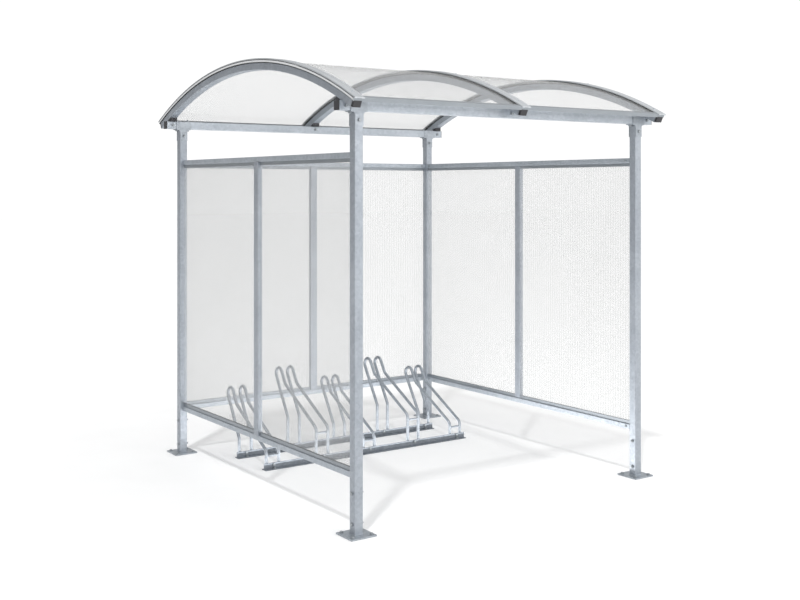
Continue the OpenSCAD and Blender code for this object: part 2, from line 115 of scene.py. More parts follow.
def vary_roughness(tree, shader, amount, least, most):
    """Lets the shader's roughness run between two values by an amount."""
    span = add(tree, "ShaderNodeMapRange", {"Value": amount, "To Min": least, "To Max": most})
    tree.links.new(span.outputs[0], shader.inputs["Roughness"])


def mesh_piece(name, points, faces):
    """New object at the origin from points and faces, with its faces turned outwards."""
    mesh = bpy.data.meshes.new(name)
    mesh.from_pydata([tuple(p) for p in points], [], faces)
    shape = bmesh.new()
    shape.from_mesh(mesh)
    bmesh.ops.recalc_face_normals(shape, faces=shape.faces)
    shape.to_mesh(mesh)
    shape.free()
    piece = bpy.data.objects.new(name, mesh)
    bpy.context.scene.collection.objects.link(piece)
    return piece


def settle(piece):
    """Makes what the piece's modifiers show its own plain mesh, and removes them."""
    graph = bpy.context.evaluated_depsgraph_get()
    shown = bpy.data.meshes.new_from_object(piece.evaluated_get(graph),
                                            preserve_all_data_layers=True, depsgraph=graph)
    shown.name = piece.name
    piece.modifiers.clear()
    piece.data = shown


def smooth(piece, crease=35):
    """Shades a piece smooth, sharp past the crease angle, with its flat faces kept flat."""
    piece.data.shade_smooth()
    piece.data.set_sharp_from_angle(angle=math.radians(crease))
    piece.modifiers.new("flat faces stay flat", "WEIGHTED_NORMAL").keep_sharp = True
    settle(piece)


def finish_piece(piece, material, slot, *nodes):
    """Gives a finished piece its material, if it has none yet, and its body, and hides the nodes
    that it stands for. The slot is not used."""
    if material:
        piece.data.materials.clear()
        piece.data.materials.append(material)
    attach(piece, "root")
    if nodes:
        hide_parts(*nodes)
    return piece


def rounded(half_u, half_v, radius, steps=4):
    """Points round a rectangle with rounded corners, as (u, v)."""
    points = []
    for corner, (su, sv) in enumerate(((1, 1), (-1, 1), (-1, -1), (1, -1))):
        for step in range(steps + 1):
            angle = math.radians(90 * (corner + step / steps))
            points.append((su * (half_u - radius) + radius * math.cos(angle),
                           sv * (half_v - radius) + radius * math.sin(angle)))
    return points


def prism_faces(count):
    """Faces of a prism between two outlines of so many points each."""
    sides = [(i, (i + 1) % count, count + (i + 1) % count, count + i) for i in range(count)]
    return [tuple(range(count)), tuple(range(2 * count - 1, count - 1, -1))] + sides


def ring_faces(rings, size):
    """Quads between neighbouring rings, where the last ring meets the first again."""
    return [(a * size + i, a * size + (i + 1) % size,
             (a + 1) % rings * size + (i + 1) % size, (a + 1) % rings * size + i)
            for a in range(rings) for i in range(size)]


def square_tube(low, high, along, wall, corner):
    """Points and faces of an open-ended tube that fills a box, with rounded corners."""
    side_u, side_v = [axis for axis in range(3) if axis != along]
    middle, half = (low + high) / 2, (high - low) / 2
    points = []
    for inset, end in ((0, low), (0, high), (wall, high), (wall, low)):
        for u, v in rounded(half[side_u] - inset, half[side_v] - inset,
                            max(corner - inset, MM / 2)):
            point = Vector(middle)
            point[along] = end[along]
            point[side_u] += u
            point[side_v] += v
            points.append(point)
    return points, ring_faces(4, len(points) // 4)


def joined(shapes):
    """Points and faces of several shapes as one."""
    points, faces = [], []
    for more, their_faces in shapes:
        faces += [[i + len(points) for i in face] for face in their_faces]
        points += more
    return points, faces


galvanised = hot_dip_galvanised_steel("hot_dip_galvanised_steel")
TUBE_WALL, TUBE_CORNER = 2.5 * MM, 4 * MM
CORNERS = [(row, side) for row in ("front", "rear") for side in ("left", "right")]
for row, side in CORNERS:
    node = f"post_{row}_{side}"
    post = mesh_piece(f"{node}_tube", *square_tube(*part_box(node), Z, TUBE_WALL, TUBE_CORNER))
    smooth(post)
    finish_piece(post, galvanised, GALVANISED_SLOT, node)


# ---- Beams ----------------------------------------------------------------------------------
# The same square tube, laid level over each pair of posts and running on past them, to carry
# the arched ribs of the roof.

# Beams and wall rails take a lighter copy of the galvanised steel: painted light, which makes them
# brighter than the posts' zinc.
painted_light_steel = hot_dip_galvanised_steel("galvanised_steel_painted_lighter", "#ABB2B9", "#BDC3CA")
for row in ("front", "rear"):
    node = f"beam_{row}"
    beam = mesh_piece(f"{node}_tube", *square_tube(*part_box(node), X, TUBE_WALL, TUBE_CORNER))
    smooth(beam)
    finish_piece(beam, painted_light_steel, GALVANISED_SLOT, node)


# ---- Feet and head brackets -----------------------------------------------------------------
# Square ground plates with a stub of tube, and the T-shaped brackets that clasp post and beam.
# Both are flame-cut plate, ground off a little along the edges, welded up and galvanised.

plate_steel = hot_dip_galvanised_steel("hot_dip_galvanised_plate", "#9CA2A9", "#B2B8BE", 0.42)


def eased_copy(node, name, width, segments=2, material=plate_steel, slot=GALVANISED_SLOT):
    """Piece in place of a CAD node, with the same shape and its sharp edges eased."""
    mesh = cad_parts[node].data.copy()
    shape = bmesh.new()
    shape.from_mesh(mesh)
    bmesh.ops.remove_doubles(shape, verts=shape.verts, dist=0.01 * MM)
    bmesh.ops.dissolve_limit(shape, angle_limit=math.radians(1), verts=shape.verts,
                             edges=shape.edges)
    shape.to_mesh(mesh)
    shape.free()
    mesh.name = name
    piece = bpy.data.objects.new(name, mesh)
    bpy.context.scene.collection.objects.link(piece)
    ease = piece.modifiers.new("eased edges", "BEVEL")
    ease.width, ease.segments, ease.limit_method = width, segments, "ANGLE"
    ease.angle_limit = math.radians(40)
    settle(piece)
    smooth(piece)
    return finish_piece(piece, material, slot, node)


for row, side in CORNERS:
    eased_copy(f"foot_{row}_{side}", f"foot_plate_{row}_{side}", 1.2 * MM)
    eased_copy(f"head_bracket_{row}_{side}", f"bracket_{row}_{side}", 0.8 * MM)


# ---- End caps -------------------------------------------------------------------------------
# Black polyethylene plugs, knocked into the open ends of beams and ribs, with a flange that
# covers the wall of the tube. They are injection moulded, so edges are soft and faces matt.

def moulded_polyethylene():
    """Black plastic with the fine, even grain of a spark-eroded mould."""
    grain_size = 0.8 * MM
    material, tree, shader, place = new_material("moulded_black_polyethylene")
    grain = add(tree, "ShaderNodeTexNoise",
                {"Vector": place, "Scale": 1 / grain_size, "Detail": 3})
    mottle(tree, shader, grain.outputs["Fac"], "#2B2B2E", "#3A3A3E")
    vary_roughness(tree, shader, grain.outputs["Fac"], 0.42, 0.6)
    bump = add(tree, "ShaderNodeBump", {"Height": grain.outputs["Fac"], "Strength": 0.15,
                                        "Distance": 0.1 * MM})
    tree.links.new(bump.outputs[0], shader.inputs["Normal"])
    shader.inputs["IOR"].default_value = 1.51
    return material


polyethylene = moulded_polyethylene()
eased_copy("tube_end_caps", "moulded_end_caps", 1.2 * MM, 3, polyethylene, PLASTIC_SLOT)


# ---- Ribs -----------------------------------------------------------------------------------
# Three rectangular steel tubes, rolled to an arch, that stand on the beams. A lug of flat bar is
# welded under each end. It stands in a slot in the top of the beam and is bolted through it.

# Open fault: the CAD's radius over the ribs is 2680 mm, and 2640 mm is drawn here. Ribs, roof
# sheets and cover strips are right at the crown and up to 4.7 mm too low near the eaves, so they
# do not quite meet the seals, end caps and eaves profiles there, which follow the CAD.
RIB_TOP_R, RIB_H, RIB_WALL, RIB_CORNER = 2640 * MM, 40 * MM, 2 * MM, 3 * MM
LUG_T, LUG_W = 6 * MM, 40 * MM
rib_low, rib_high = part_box("rib_middle")
arch_z = rib_high.z - RIB_TOP_R
rib_end = math.asin(rib_high.y / RIB_TOP_R)
beam_boxes = {-1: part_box("beam_front"), 1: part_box("beam_rear")}
beam_middle = {row: (low.y + high.y) / 2 for row, (low, high) in beam_boxes.items()}


def on_arch(x, radius, angle):
    """Point of the roof at a radius from its axis and an angle from the top, rear positive."""
    return Vector((x, radius * math.sin(angle), arch_z + radius * math.cos(angle)))


def turns(start, end, steps):
    """Evenly spaced angles from one to another, with both ends."""
    return [start + (end - start) * step / steps for step in range(steps + 1)]


def arched_tube(middle_x, half_w, top_r, height, wall, corner, end, steps=60):
    """Points and faces of an open-ended tube that follows the arch from -end to end."""
    points = []
    outer = rounded(half_w, height / 2, corner)
    inner = rounded(half_w - wall, height / 2 - wall, max(corner - wall, MM / 2))
    ways = turns(-end, end, steps)
    for section, angles in ((outer, ways), (inner, ways[::-1])):
        for angle in angles:
            points += [on_arch(middle_x + u, top_r - height / 2 + v, angle) for u, v in section]
    return points, ring_faces(2 * len(ways), len(outer))


def lug(middle_x, row):
    """Points and faces of the flat bar under a rib, rounded at its lower corners."""
    nip, radius, middle_y = 0.5 * MM, 8 * MM, beam_middle[row]
    top = on_arch(0, RIB_TOP_R - RIB_H + nip, math.asin(middle_y / RIB_TOP_R)).z
    outline = [(LUG_W / 2, top), (-LUG_W / 2, top)]
    for sign, start in ((-1, 180), (1, 270)):
        outline += [(sign * (LUG_W / 2 - radius) + radius * math.cos(math.radians(start + turn)),
                     rib_low.z + radius + radius * math.sin(math.radians(start + turn)))
                    for turn in range(0, 91, 15)]
    points = [Vector((middle_x + u, y, z)) for y in (middle_y - LUG_T / 2, middle_y + LUG_T / 2)
              for u, z in outline]
    return points, prism_faces(len(outline))


for side in ("left", "middle", "right"):
    node = f"rib_{side}"
    low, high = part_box(node)
    middle_x, half_w = (low.x + high.x) / 2, (high.x - low.x) / 2
    rib = mesh_piece(f"arched_{node}", *joined(
        [arched_tube(middle_x, half_w, RIB_TOP_R, RIB_H, RIB_WALL, RIB_CORNER, rib_end)]
        + [lug(middle_x, row) for row in (-1, 1)]))
    smooth(rib)
    finish_piece(rib, galvanised, GALVANISED_SLOT, node)


# ---- Dark wedges under the ribs: painted shade ----------------------------------------------
# A dark wedge in the black plastic of the end caps, under each rib end, fills the gap between the
# slope of the rib and the level top of the beam, on the inner side of the lug. It is painted
# shade:
# a dark piece put where the gap holds only shade.

SHADE_WEDGE_IN, SHADE_WEDGE_NIP = 12 * MM, 0.5 * MM
shade_wedges = []
for side in ("left", "middle", "right"):
    low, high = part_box(f"rib_{side}")
    for row, (beam_low, beam_high) in beam_boxes.items():
        near = beam_middle[row] - row * (LUG_T / 2 + MM)
        far = (beam_low.y if row > 0 else beam_high.y) - row * SHADE_WEDGE_IN
        base_z = beam_high.z - SHADE_WEDGE_NIP
        under = RIB_TOP_R - RIB_H + SHADE_WEDGE_NIP
        outline = [(near, base_z), (far, base_z)]
        for y in (far, near):
            outline.append((y, on_arch(0, under, math.asin(y / under)).z))
        points = [(x, y, z) for x in (low.x + MM, high.x - MM) for y, z in outline]
        shade_wedges.append((points, prism_faces(len(outline))))
# Painted shade: dark wedges where the gaps under the rib ends are only in shade.
shade_wedge_piece = mesh_piece("rib_gap_shade_wedges", *joined(shade_wedges))
finish_piece(shade_wedge_piece, polyethylene, PLASTIC_SLOT)


# ---- Twin-wall sheets -----------------------------------------------------------------------
# Clear polycarbonate, extruded as two thin skins with upright webs between them. The wall panels
# stand with the webs upright, and the roof sheets are bent cold over the ribs along their webs.

def extruded_polycarbonate(name, alpha):
    """Clear sheet that greys what is behind it a little: thin walls with a faint haze."""
    haze_size = 90 * MM
    material, tree, shader, place = new_material(name)
    haze = add(tree, "ShaderNodeTexNoise", {"Vector": place, "Scale": 1 / haze_size, "Detail": 2})
    mottle(tree, shader, haze.outputs["Fac"], "#BEBFBF", "#CBCCCC")
    vary_roughness(tree, shader, haze.outputs["Fac"], 0.5, 0.6)
    shader.inputs["IOR"].default_value = 1.58
    shader.inputs["Alpha"].default_value = alpha
    return material


def tree_input(tree, name, kind, value=None):
    """Adds a named input, with its default, to a geometry tree."""
    socket = tree.interface.new_socket(name, in_out="INPUT", socket_type=f"NodeSocket{kind}")
    if value is not None:
        socket.default_value = value


def start_tree(name, inputs):
    """Geometry tree with named inputs: returns it and its Group Input's outputs."""
    tree = bpy.data.node_groups.new(name, "GeometryNodeTree")
    tree_input(tree, "Geometry", "Geometry")
    for label, kind, value in inputs:
        tree_input(tree, label, kind, value)
    tree.interface.new_socket("Geometry", in_out="OUTPUT", socket_type="NodeSocketGeometry")
    return tree, add(tree, "NodeGroupInput").outputs


def maths(tree):
    """Function that adds one sum to a tree and gives its result."""
    def value(operation, *terms):
        return add(tree, "ShaderNodeMath", dict(enumerate(terms)), operation=operation).outputs[0]
    return value


def end_tree(tree, geometry, material):
    """Ends a tree in Realize Instances and Set Material."""
    real = add(tree, "GeometryNodeRealizeInstances", {"Geometry": geometry})
    coat = add(tree, "GeometryNodeSetMaterial",
               {"Geometry": real.outputs[0], "Material": material})
    add(tree, "NodeGroupOutput", {"Geometry": coat.outputs[0]})


def grow(piece, tree, **values):
    """Runs a geometry tree on a piece with these inputs, and keeps the mesh that it makes."""
    modifier = piece.modifiers.new(tree.name, "NODES")
    modifier.node_group = tree
    for socket in tree.interface.items_tree:
        if socket.item_type == "SOCKET" and socket.in_out == "INPUT" and socket.name in values:
            modifier[socket.identifier] = values[socket.name]
    settle(piece)


def twin_wall_tree():
    """Flat twin-wall sheet, X across the webs and Y along them, bent over a radius if asked."""
    tree, given = start_tree("twin_wall_sheet", [
        ("Width", "Float", 1), ("Length", "Float", 1), ("Thickness", "Float", 0.01),
        ("Skin", "Float", 0.0008), ("Web", "Float", 0.0006), ("Webs", "Int", 50),
        ("Steps", "Int", 2), ("Bent", "Bool", False), ("Radius", "Float", 1),
        ("Material", "Material", None), ("Web Material", "Material", None)])

    value = maths(tree)

    def block(width, length, height, steps):
        size = add(tree, "ShaderNodeCombineXYZ", {"X": width, "Y": length, "Z": height})
        return add(tree, "GeometryNodeMeshCube",
                   {"Size": size.outputs[0], "Vertices Y": steps}).outputs[0]

    def lifted(geometry, z):
        offset = add(tree, "ShaderNodeCombineXYZ", {"Z": z})
        return add(tree, "GeometryNodeTransform",
                   {"Geometry": geometry, "Translation": offset.outputs[0]}).outputs[0]

    skin_z = value("DIVIDE", value("SUBTRACT", given["Thickness"], given["Skin"]), 2.0)
    skin = block(given["Width"], given["Length"], given["Skin"], given["Steps"])
    web = block(given["Web"], given["Length"],
                value("SUBTRACT", given["Thickness"], given["Skin"]), given["Steps"])
    reach = value("SUBTRACT", given["Width"], given["Web"])
    gap = value("DIVIDE", reach, value("SUBTRACT", given["Webs"], 1.0))
    step = add(tree, "ShaderNodeCombineXYZ", {"X": gap})
    start = add(tree, "ShaderNodeCombineXYZ", {"X": value("DIVIDE", reach, -2.0)})
    line = add(tree, "GeometryNodeMeshLine", {"Count": given["Webs"], "Offset": step.outputs[0],
                                              "Start Location": start.outputs[0]})
    webs = add(tree, "GeometryNodeInstanceOnPoints", {"Points": line.outputs[0], "Instance": web})
    whole = add(tree, "GeometryNodeJoinGeometry")
    for part in (lifted(skin, skin_z), lifted(skin, value("MULTIPLY", skin_z, -1.0)),
                 webs.outputs[0]):
        tree.links.new(part, whole.inputs[0])
    real = add(tree, "GeometryNodeRealizeInstances", {"Geometry": whole.outputs[0]})
    place = add(tree, "ShaderNodeSeparateXYZ",
                {"Vector": add(tree, "GeometryNodeInputPosition").outputs[0]})
    angle = value("DIVIDE", place.outputs["Y"], given["Radius"])
    radius = value("ADD", given["Radius"], place.outputs["Z"])
    bent = add(tree, "ShaderNodeCombineXYZ", {
        "X": place.outputs["X"], "Y": value("MULTIPLY", radius, value("SINE", angle)),
        "Z": value("MULTIPLY", radius, value("COSINE", angle))})
    curved = add(tree, "GeometryNodeSetPosition", {
        "Geometry": real.outputs[0], "Selection": given["Bent"], "Position": bent.outputs[0]})
    coat = add(tree, "GeometryNodeSetMaterial",
               {"Geometry": curved.outputs[0], "Material": given["Material"]})
    facing = add(tree, "ShaderNodeSeparateXYZ",
                 {"Vector": add(tree, "GeometryNodeInputNormal").outputs[0]})
    sideways = value("GREATER_THAN", value("ABSOLUTE", facing.outputs["X"]), 0.5)
    webs = add(tree, "GeometryNodeSetMaterial", {
        "Geometry": coat.outputs[0], "Selection": sideways, "Material": given["Web Material"]})
    add(tree, "NodeGroupOutput", {"Geometry": webs.outputs[0]})
    return tree


# The real webs stand about 11 mm apart, too fine to show: they are drawn as coarse as this. They
# are also drawn clearer than the skins, as their own stripes would be too strong at that pitch.
WALL_PITCH, ROOF_PITCH = 21 * MM, 16 * MM
SHEET_T, SKIN_T, WEB_T, TAPE_T = 10 * MM, 0.8 * MM, 0.7 * MM, 0.8 * MM
ROOF_STEPS = 61
polycarbonate = extruded_polycarbonate("extruded_twin_wall_polycarbonate", 0.1)
clear_web = extruded_polycarbonate("extruded_polycarbonate_web", 0.035)
twin_wall = twin_wall_tree()


def twin_wall_sheet(name, width, length, pitch, place, steps=2, bend_radius=None):
    """Twin-wall sheet, put in place by a matrix, with its skins shaded smooth where it bends."""
    piece = mesh_piece(name, [(0, 0, 0)], [])
    grow(piece, twin_wall, Width=width, Length=length, Thickness=SHEET_T, Skin=SKIN_T,
         Web=WEB_T, Webs=round(width / pitch) + 1, Steps=steps,
         Bent=bend_radius is not None, Radius=bend_radius or 1.0, Material=polycarbonate,
         **{"Web Material": clear_web})
    piece.data.transform(place)
    if bend_radius:
        smooth(piece)
    return piece


for wall, bays in (("left", ("front", "rear")), ("right", ("front", "rear")),
                   ("rear", ("left", "right"))):
    for bay in bays:
        node = f"panel_{wall}_{bay}"
        low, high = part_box(node)
        size = high - low
        flat = Matrix.Rotation(math.radians(90), 4, "X")
        turn = Matrix.Rotation(math.radians(90), 4, "Z") if wall != "rear" else Matrix()
        panel = twin_wall_sheet(f"{node}_sheet", max(size.x, size.y), size.z, WALL_PITCH,
                                Matrix.Translation((low + high) / 2) @ turn @ flat)
        finish_piece(panel, None, SHEET_SLOT, node)

for side in ("left", "right"):
    node = f"roof_sheet_{side}"
    low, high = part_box(node)
    middle_r = high.z - arch_z - SHEET_T / 2
    arc = 2 * math.asin(high.y / (middle_r + SHEET_T / 2)) * middle_r
    roof = twin_wall_sheet(f"{node}_curved", high.x - low.x - 2 * TAPE_T, arc, ROOF_PITCH,
                           Matrix.Translation(((low.x + high.x) / 2, 0, arch_z)),
                           ROOF_STEPS, middle_r)
    finish_piece(roof, None, SHEET_SLOT, node)


# ---- Sealing tape ---------------------------------------------------------------------------
# White tape of aluminium foil stuck along the cut side edges of the roof sheets, which keeps dust
# and water out of their chambers.

def foil_tape():
    """Smooth, pale and slightly creased tape that catches a line of light. Its creases are
    painted into its colour as light and shade.
    """
    crease_shade_size = 12 * MM
    material, tree, shader, place = new_material("white_foil_tape")
    # Painted light and shade of the creases: the tape's colour runs lighter and darker by this
    # noise.
    crease = add(tree, "ShaderNodeTexNoise", {"Vector": place, "Scale": 1 / crease_shade_size})
    mottle(tree, shader, crease.outputs["Fac"], "#D2D4D6", "#E4E5E6")
    shader.inputs["Roughness"].default_value = 0.4
    return material


def arch_sweep(middle_x, outline, base_r, end, steps=60):
    """Points and faces of a solid section swept along the arch, closed at both ends."""
    ways = turns(-end, end, steps)
    points = [on_arch(middle_x + x, base_r + up, way) for way in ways for x, up in outline]
    count = len(outline)
    faces = ring_faces(len(ways), count)[:-count]
    return points, faces + [tuple(range(count)), tuple(len(points) - 1 - i for i in range(count))]


strips = []
for side in ("left", "right"):
    low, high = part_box(f"roof_sheet_{side}")
    end = math.asin(high.y / (high.z - arch_z))
    for x in (low.x + TAPE_T / 2, high.x - TAPE_T / 2):
        half = TAPE_T / 2
        section = [(half, 0), (half, SHEET_T), (-half, SHEET_T), (-half, 0)]
        strips.append(arch_sweep(x, section, high.z - arch_z - SHEET_T, end))
tape = mesh_piece("roof_sheet_edge_tape", *joined(strips))
smooth(tape)
finish_piece(tape, foil_tape(), SHEET_SLOT)


# ---- Seals, cover strips and eaves profiles -------------------------------------------------
# Each rib clamps the roof sheets between two rubber strips, under a cover strip of extruded
# aluminium that is screwed down through them. A U profile closes the sheets at the eaves.

def epdm_rubber():
    """Black extruded rubber: dark grey and dull, with a faint bloom."""
    bloom_size = 30 * MM
    material, tree, shader, place = new_material("extruded_epdm_rubber")
    bloom = add(tree, "ShaderNodeTexNoise",
                {"Vector": place, "Scale": 1 / bloom_size, "Detail": 5})
    mottle(tree, shader, bloom.outputs["Fac"], "#2A2C2E", "#4A4D50")
    vary_roughness(tree, shader, bloom.outputs["Fac"], 0.62, 0.85)
    return material


def mill_finish_aluminium(name, dull, bright):
    """Extrusion straight from the die: light and satin, with a fine, uneven grain."""
    cloud_size, grain_size = 60 * MM, 3 * MM
    material, tree, shader, place = new_material(name)
    shader.inputs["Metallic"].default_value = 0.85
    cloud = add(tree, "ShaderNodeTexNoise",
                {"Vector": place, "Scale": 1 / cloud_size, "Detail": 3})
    mottle(tree, shader, cloud.outputs["Fac"], dull, bright)
    grain = add(tree, "ShaderNodeTexNoise",
                {"Vector": place, "Scale": 1 / grain_size, "Detail": 2})
    vary_roughness(tree, shader, grain.outputs["Fac"], 0.3, 0.46)
    return material


rubber = epdm_rubber()
aluminium = mill_finish_aluminium("mill_finish_aluminium", "#C2C7CB", "#D8DBDE")
weathered = mill_finish_aluminium("weathered_aluminium", "#93999E", "#A3A8AD")
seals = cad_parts["rib_seals"]
seals.data.materials.clear()
seals.data.materials.append(rubber)

COVER_H, COVER_RIM, COVER_GROOVE = 8 * MM, 1.5 * MM, 2 * MM


def cover_outline(half_w):
    """Section of a cover strip, as (x, up): domed edges, and a shallow channel for the screws."""
    top, channel = COVER_H, 11 * MM
    right = [(half_w, 0), (half_w, top * 0.45), (half_w - COVER_RIM, top * 0.8),
             (half_w - 3 * COVER_RIM, top), (channel + COVER_RIM, top),
             (channel, top - COVER_RIM)]
    under = [(half_w / 2, COVER_GROOVE), (half_w / 2, 0)]
    return (right + [(-x, up) for x, up in right[::-1]]
            + [(-x, up) for x, up in under[::-1]] + under)


for side in ("left", "middle", "right"):
    node = f"cover_strip_{side}"
    low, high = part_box(node)
    base_r = high.z - arch_z - COVER_H
    strip = mesh_piece(f"{node}_profile", *arch_sweep(
        (low.x + high.x) / 2, cover_outline((high.x - low.x) / 2), base_r,
        math.asin(high.y / (base_r + COVER_H))))
    smooth(strip, 25)
    finish_piece(strip, aluminium, ALUMINIUM_SLOT, node)
eased_copy("eaves_profiles", "eaves_u_profiles", 0.4 * MM, 1, weathered, ALUMINIUM_SLOT)


# ---- Wall frames ----------------------------------------------------------------------------
# Rails and a middle mullion of small rectangular tube, welded into a frame and galvanised, with
# U channels of aluminium at foot and head of each bay that take the edges of the sheet.

RAIL_WALL, RAIL_CORNER = 2 * MM, 2.5 * MM
bay_low, bay_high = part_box("glazing_channels")
for wall in ("left", "right", "rear"):
    node = f"wall_rails_{wall}"
    low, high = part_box(node)
    along = X if wall == "rear" else Y
    bottom_top, top_bottom = high.copy(), low.copy()
    bottom_top.z, top_bottom.z = bay_low.z, bay_high.z
    rails = mesh_piece(f"{node}_tubes", *joined([
        square_tube(low, bottom_top, along, RAIL_WALL, RAIL_CORNER),
        square_tube(top_bottom, high, along, RAIL_WALL, RAIL_CORNER)]))
    smooth(rails)
    # The rails take the lighter copy of the galvanised steel: painted light.
    finish_piece(rails, painted_light_steel, GALVANISED_SLOT, node)
    node = f"mullion_{wall}"
    mullion = mesh_piece(f"{node}_tube", *square_tube(*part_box(node), Z, RAIL_WALL, RAIL_CORNER))
    smooth(mullion)
    finish_piece(mullion, galvanised, GALVANISED_SLOT, node)
eased_copy("glazing_channels", "glazing_u_channels", 0.35 * MM, 1, weathered, ALUMINIUM_SLOT)


# ---- Bicycle rack ---------------------------------------------------------------------------
# Two T bars lie flat side down on the ground. Each place is a pair of hoops, bent from 20 mm tube,
# with a tie bar between them and a plate behind each rail, bolted through the web of the T bar.

rail_steel = hot_dip_galvanised_steel("hot_dip_galvanised_t_bar", "#7F858C", "#92989F", 0.5)
for row in ("front", "rear"):
    eased_copy(f"rack_rail_{row}", f"rack_t_bar_{row}", 0.8 * MM, 2, rail_steel)

HOOP_D, HOOP_GAP, TIE_D = 20 * MM, 87 * MM, 14 * MM
BEND_R, TOP_BEND_R = 38 * MM, 40 * MM
LEAN, SLOPE = math.radians(32), math.radians(29)
KINK_LOW, PLACE_RISE, HOOP_TOP, TOP_R = 125 * MM, 96 * MM, 269 * MM, 42 * MM
FRONT_KINK_DROP, TIE_DROP, PLATE_T, PLATE_TOP = 11 * MM, 32 * MM, 5 * MM, 39 * MM
RACK_PLACES = range(1, 6)
leg_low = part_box("rack_place_1")[0].z
LEG_IN_PLATE, LEG_SPACING = 1.5 * MM, 370 * MM
front_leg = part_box("rack_place_1")[0].y + PLATE_T + HOOP_D / 2 - LEG_IN_PLATE
rear_leg = front_leg + LEG_SPACING


def hoop_corners(kink):
    """Corners of a hoop's centre line, as (y, z), from the rear leg over to the front leg."""
    up = Vector((math.sin(LEAN), math.cos(LEAN)))
    across = Vector((-math.cos(LEAN), math.sin(LEAN)))
    rear_kink = Vector((rear_leg, kink))
    run = (HOOP_TOP - TOP_R * math.sin(LEAN)) / math.cos(LEAN)
    top_rear = rear_kink + (run + TOP_R) * up
    top_front = top_rear + 2 * TOP_R * across
    front_kink = Vector((front_leg, kink - FRONT_KINK_DROP))
    slope, lean = math.tan(SLOPE), 1 / math.tan(LEAN)
    knee_y = ((front_kink.y - slope * front_leg - top_front.y + lean * top_front.x)
              / (lean - slope))
    knee = Vector((knee_y, front_kink.y + slope * (knee_y - front_leg)))
    return [Vector((rear_leg, leg_low)), rear_kink, top_rear, top_front, knee, front_kink,
            Vector((front_leg, leg_low))]


def bent_tube_tree():
    """Tube bent along the edges of a mesh, with the bend radius that each corner carries."""
    tree, given = start_tree("bent_tube", [("Diameter", "Float", 0.02), ("Bend Steps", "Int", 10),
                                           ("Material", "Material", None)])
    line = add(tree, "GeometryNodeMeshToCurve", {"Mesh": given["Geometry"]})
    radius = add(tree, "GeometryNodeInputNamedAttribute", {"Name": "bend"}, data_type="FLOAT")
    bends = add(tree, "GeometryNodeFilletCurve", {
        "Curve": line.outputs[0], "Count": given["Bend Steps"],
        "Radius": radius.outputs[0]}, mode="POLY")
    half = add(tree, "ShaderNodeMath", {0: given["Diameter"], 1: 0.5}, operation="MULTIPLY")
    ring = add(tree, "GeometryNodeCurvePrimitiveCircle", {"Resolution": 20,
                                                          "Radius": half.outputs[0]})
    tube = add(tree, "GeometryNodeCurveToMesh", {"Curve": bends.outputs[0],
                                                 "Profile Curve": ring.outputs[0],
                                                 "Fill Caps": True})
    end_tree(tree, tube.outputs[0], given["Material"])
    return tree


def line_piece(name, lines, radii=None):
    """Mesh of edges along several lines of points, each point with its bend radius."""
    points = [point for line in lines for point in line]
    edges, start = [], 0
    for line in lines:
        edges += [(start + i, start + i + 1) for i in range(len(line) - 1)]
        start += len(line)
    mesh = bpy.data.meshes.new(name)
    mesh.from_pydata([tuple(p) for p in points], edges, [])
    if radii:
        mesh.attributes.new("bend", "FLOAT", "POINT").data.foreach_set("value", radii * len(lines))
    piece = bpy.data.objects.new(name, mesh)
    bpy.context.scene.collection.objects.link(piece)
    return piece


def merge(piece, *others):
    """Joins finished meshes into one piece."""
    shape = bmesh.new()
    for part in (piece, *others):
        shape.from_mesh(part.data)
    shape.to_mesh(piece.data)
    shape.free()
    for part in others:
        bpy.data.objects.remove(part)


def place_plate(middle_x, leg_y):
    """Rounded plate in front of two legs."""
    low_y = leg_y - HOOP_D / 2 + LEG_IN_PLATE - PLATE_T
    half = HOOP_GAP / 2 + HOOP_D / 2 + 2 * MM
    height = (PLATE_TOP - leg_low - MM) / 2
    outline = rounded(half, height, 4 * MM)
    points = [Vector((middle_x + u, y, PLATE_TOP - height + v))
              for y in (low_y, low_y + PLATE_T) for u, v in outline]
    return points, prism_faces(len(outline))


bent_tube = bent_tube_tree()
hoop_steel = hot_dip_galvanised_steel("hot_dip_galvanised_hoop_tube", "#8E949B", "#A6ACB3", 0.44)
place_x = {}
for number in RACK_PLACES:
    node = f"rack_place_{number}"
    low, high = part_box(node)
    place_x[number] = (low.x + high.x) / 2
    kink = KINK_LOW + (PLACE_RISE if number % 2 == 0 else 0)
    corners = hoop_corners(kink)
    hoops = line_piece(f"{node}_hoops", [
        [Vector((place_x[number] + sign * HOOP_GAP / 2, y, z)) for y, z in corners]
        for sign in (-1, 1)], [0, BEND_R, TOP_BEND_R, TOP_BEND_R, BEND_R, BEND_R, 0])
    grow(hoops, bent_tube, **{"Diameter": HOOP_D, "Bend Steps": 12, "Material": hoop_steel})
    tie_z = corners[5].y - TIE_DROP
    tie = line_piece(f"{node}_tie", [[
        Vector((place_x[number] + sign * HOOP_GAP / 2, front_leg, tie_z)) for sign in (-1, 1)]],
        [0, 0])
    grow(tie, bent_tube, **{"Diameter": TIE_D, "Bend Steps": 1, "Material": hoop_steel})
    plates = mesh_piece(f"{node}_plates", *joined([place_plate(place_x[number], leg)
                                                   for leg in (front_leg, rear_leg)]))
    merge(hoops, tie, plates)
    smooth(hoops)
    finish_piece(hoops, hoop_steel, GALVANISED_SLOT, node)


# ---- Bolts, anchors and screws --------------------------------------------------------------
# Zinc-plated hexagon bolts and nuts on washers hold the frame, and anchor bolts hold it to the
# ground. Smaller screws, drawn in the bright aluminium of the strips, hold the cover strips down.

